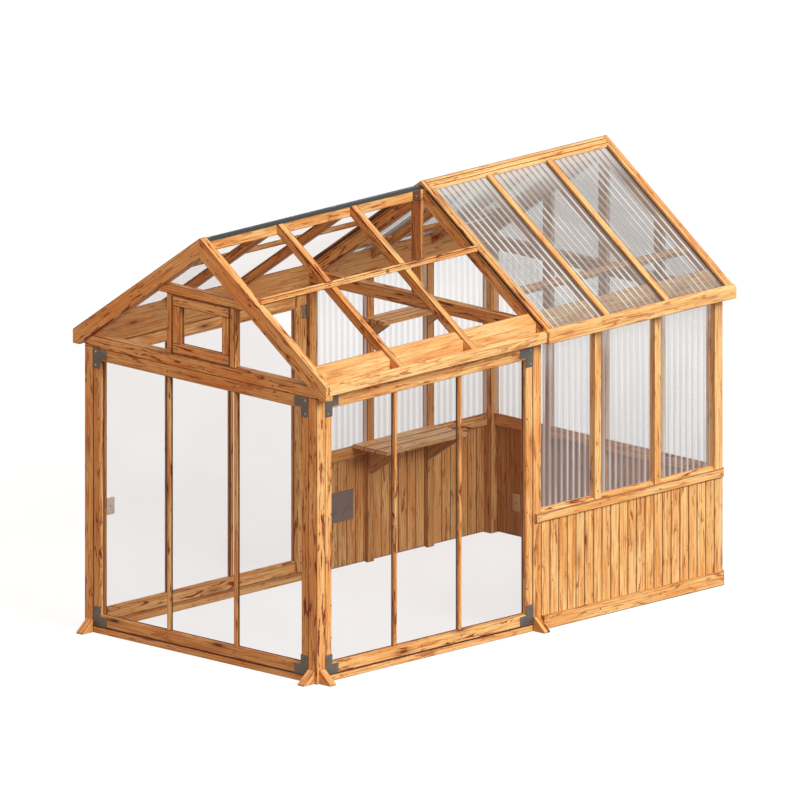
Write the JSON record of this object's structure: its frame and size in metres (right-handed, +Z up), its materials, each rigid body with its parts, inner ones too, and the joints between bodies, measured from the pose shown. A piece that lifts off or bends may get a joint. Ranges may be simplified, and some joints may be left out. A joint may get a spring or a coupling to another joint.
{
  "type": "greenhouse",
  "caption": "Walk-in wooden mini greenhouse with pitched glazed roof, side door, gable vent, boarded rear walls and clear corrugated windows.",
  "frame": {"origin": "middle of the ground area that the feet, posts and skirting cover, at ground level", "axes": "+X to the right seen from the front gable, +Y from the front gable to the rear, +Z up"},
  "size_m": [1.794, 3.006, 2.1752],
  "materials": {
    "honey_wood": "oiled softwood with brown knots",
    "cladding_wood": "oiled softwood boards",
    "shelf_wood": "oiled softwood slats",
    "wall_glass": "clear glazing",
    "roof_pane": "clear glazing",
    "corrugated_sheet": "clear corrugated glazing sheet",
    "dark_bracket": "matt dark grey plate",
    "black_strip": "satin black",
    "zinc_steel": "zinc plated",
    "beige_plate": "matt beige",
    "cover_plate": "matt grey"
  },
  "bodies": {
    "house": {"base_sills": "honey_wood", "common_rafters": "honey_wood", "corner_brackets": "dark_bracket", "door_stop": "honey_wood", "eaves_fascias": "honey_wood", "foot_gussets": "honey_wood", "front_panel_frame": "honey_wood", "front_panel_glass": "wall_glass", "gable_collar": "honey_wood", "gable_glass": "wall_glass", "gable_rafters": "honey_wood", "gable_studs_rear": "honey_wood", "glazing_bar_caps": "honey_wood", "junction_rafters": "honey_wood", "king_post": "honey_wood", "ledge_rails": "cladding_wood", "lower_shelf": "shelf_wood", "panel_beads": "honey_wood", "post_front_left": "honey_wood", "post_front_right": "honey_wood", "post_hinge_leaves": "zinc_steel", "post_junction_left": "honey_wood", "post_junction_right": "honey_wood", "post_rear_left": "honey_wood", "post_rear_right": "honey_wood", "rear_gable_sheets": "corrugated_sheet", "ridge_beams": "honey_wood", "ridge_boards": "honey_wood", "ridge_cap": "black_strip", "right_panel_frame": "honey_wood", "right_panel_glass": "wall_glass", "roof_battens": "honey_wood", "roof_glass": "roof_pane", "roof_purlins": "honey_wood", "roof_sheets": "corrugated_sheet", "shelf_brackets": "shelf_wood", "skirting_boards": "cladding_wood", "tie_beam_front": "honey_wood", "tie_beam_junction": "honey_wood", "tie_beam_rear": "honey_wood", "upper_shelf": "shelf_wood", "vent_posts": "honey_wood", "wall_boards_left": "cladding_wood", "wall_boards_rear": "cladding_wood", "wall_boards_right": "cladding_wood", "wall_cover_plates": "cover_plate", "wall_plates": "honey_wood", "wall_studs": "honey_wood", "window_sheets": "corrugated_sheet", "window_sills": "honey_wood"},
    "door": {"door_frame": "honey_wood", "door_glass": "wall_glass", "door_beads": "honey_wood", "door_brackets": "dark_bracket", "door_hinge_leaves": "zinc_steel", "door_latch_plate": "beige_plate", "door_knob": "honey_wood"},
    "vent": {"vent_sash": "honey_wood", "vent_glass": "wall_glass", "vent_pivots": "zinc_steel"}
  },
  "joints": [
    {"name": "door_hinge", "type": "hinge", "parent": "house", "child": "door", "pos_m": [-0.759, 0.12, 0.65], "axis": [0, 0, 1], "range_deg": [0, 90]},
    {"name": "vent_hinge", "type": "hinge", "parent": "house", "child": "vent", "pos_m": [0, -1.417, 1.821], "axis": [-1, 0, 0], "range_deg": [0, 55]}
  ]
}
